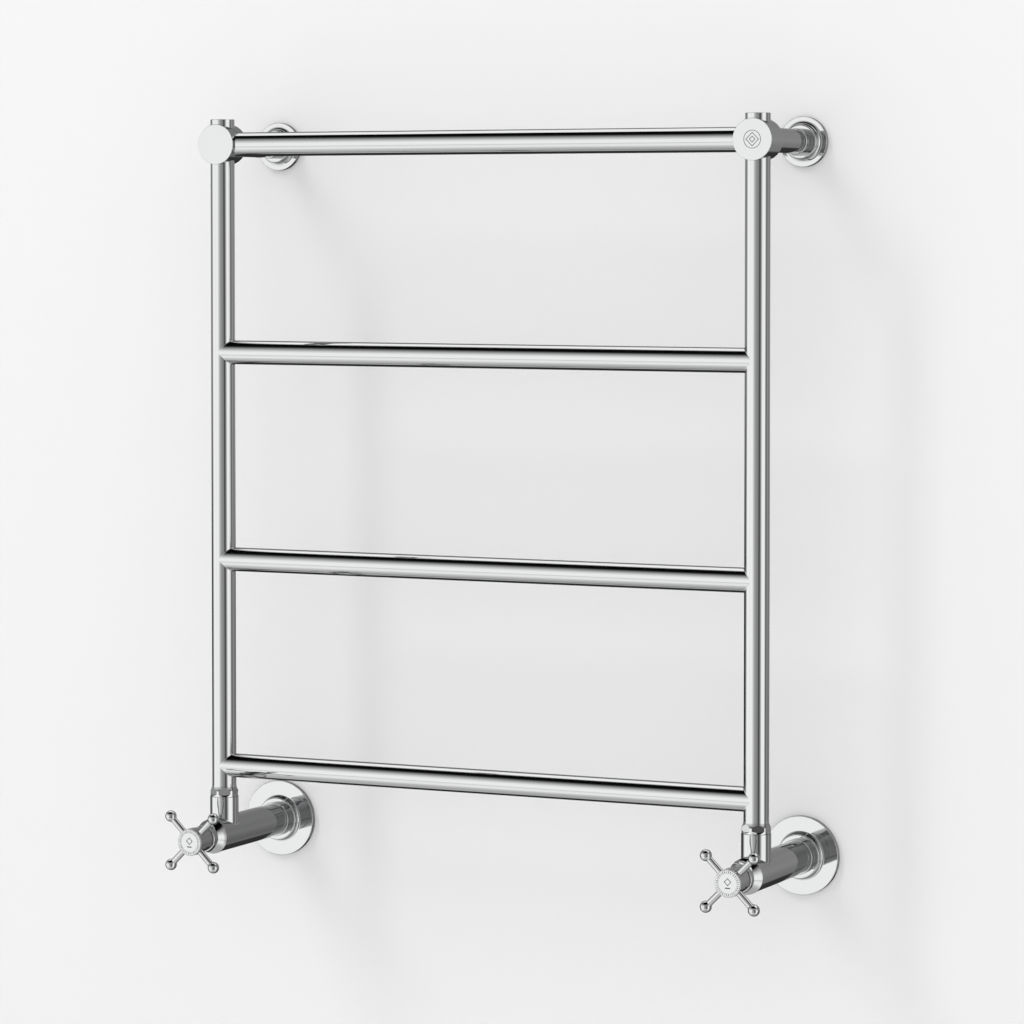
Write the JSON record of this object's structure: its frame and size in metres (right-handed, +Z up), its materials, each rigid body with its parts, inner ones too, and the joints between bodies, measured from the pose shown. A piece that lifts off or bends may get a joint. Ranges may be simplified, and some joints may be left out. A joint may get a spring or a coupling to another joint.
{
  "type": "towel radiator",
  "caption": "Chrome wall-hung ladder towel radiator with round tube posts and rails, wall stays, and a crosshead valve with union and wall rose under each post.",
  "frame": {"origin": "on the wall plane, midway between the two wall stays, at the height of the top rail's axis", "axes": "+Z up along the posts, +Y into the wall, +X to the right of someone who faces the radiator"},
  "size_m": [0.68, 0.1985, 0.786],
  "materials": {
    "chrome": "polished chrome plate",
    "brass": "machined",
    "steel": "zinc plated",
    "rubber": "matt"
  },
  "bodies": {
    "radiator": {"left_post": "chrome", "left_hub": "chrome", "left_hub_cap": "chrome", "left_stay_sleeve": "chrome", "left_stay_rod": "chrome", "left_stay_collar": "chrome", "left_stay_rose": "chrome", "left_post_flare": "chrome", "left_union_nut": "chrome", "left_valve_body": "chrome", "left_pipe_shroud": "chrome", "left_valve_rose": "chrome", "left_bonnet": "chrome", "left_union_tail": "brass", "left_headwork": "brass", "left_wall_plate": "steel", "right_post": "chrome", "right_hub": "chrome", "right_hub_cap": "chrome", "right_stay_sleeve": "chrome", "right_stay_rod": "chrome", "right_stay_collar": "chrome", "right_stay_rose": "chrome", "right_post_flare": "chrome", "right_union_nut": "chrome", "right_valve_body": "chrome", "right_pipe_shroud": "chrome", "right_valve_rose": "chrome", "right_bonnet": "chrome", "right_union_tail": "brass", "right_headwork": "brass", "right_wall_plate": "steel", "top_rail": "chrome", "upper_rung": "chrome", "middle_rung": "chrome", "lower_rung": "chrome", "left_air_vent": "chrome", "right_blanking_plug": "chrome", "rose_rings": "chrome", "olives": "brass", "compression_nuts": "brass", "stay_grub_screws": "steel", "union_seals": "rubber", "spindle_seals": "rubber"},
    "left_handle": {"left_handle_hub": "chrome", "left_handle_spokes": "chrome", "left_handle_cap": "chrome", "left_handle_screw": "steel", "left_spindle": "brass"},
    "right_handle": {"right_handle_hub": "chrome", "right_handle_spokes": "chrome", "right_handle_cap": "chrome", "right_handle_screw": "steel", "right_spindle": "brass"},
    "left_jumper": {"left_jumper": "brass", "left_jumper_washer": "rubber"},
    "right_jumper": {"right_jumper": "brass", "right_jumper_washer": "rubber"},
    "bleed_screw": {"bleed_screw": "brass"}
  },
  "joints": [
    {"name": "left_handle_turn", "type": "hinge", "parent": "radiator", "child": "left_handle", "pos_m": [-0.3, -0.19, -0.72], "axis": [0, -1, 0], "range_deg": [0, 900]},
    {"name": "left_jumper_lift", "type": "slide", "parent": "radiator", "child": "left_jumper", "axis": [0, -1, 0], "range_m": [0, 0.004]},
    {"name": "right_handle_turn", "type": "hinge", "parent": "radiator", "child": "right_handle", "pos_m": [0.3, -0.19, -0.72], "axis": [0, -1, 0], "range_deg": [0, 900]},
    {"name": "right_jumper_lift", "type": "slide", "parent": "radiator", "child": "right_jumper", "axis": [0, -1, 0], "range_m": [0, 0.004]},
    {"name": "bleed_screw_turn", "type": "hinge", "parent": "radiator", "child": "bleed_screw", "pos_m": [-0.3, -0.125, 0.02], "axis": [0, 0, 1], "range_deg": [0, 360]}
  ],
  "couplings": [
    {"joint": "left_jumper_lift", "follows": "left_handle_turn", "m_per_rad": 0.00025464},
    {"joint": "right_jumper_lift", "follows": "right_handle_turn", "m_per_rad": 0.00025464}
  ]
}
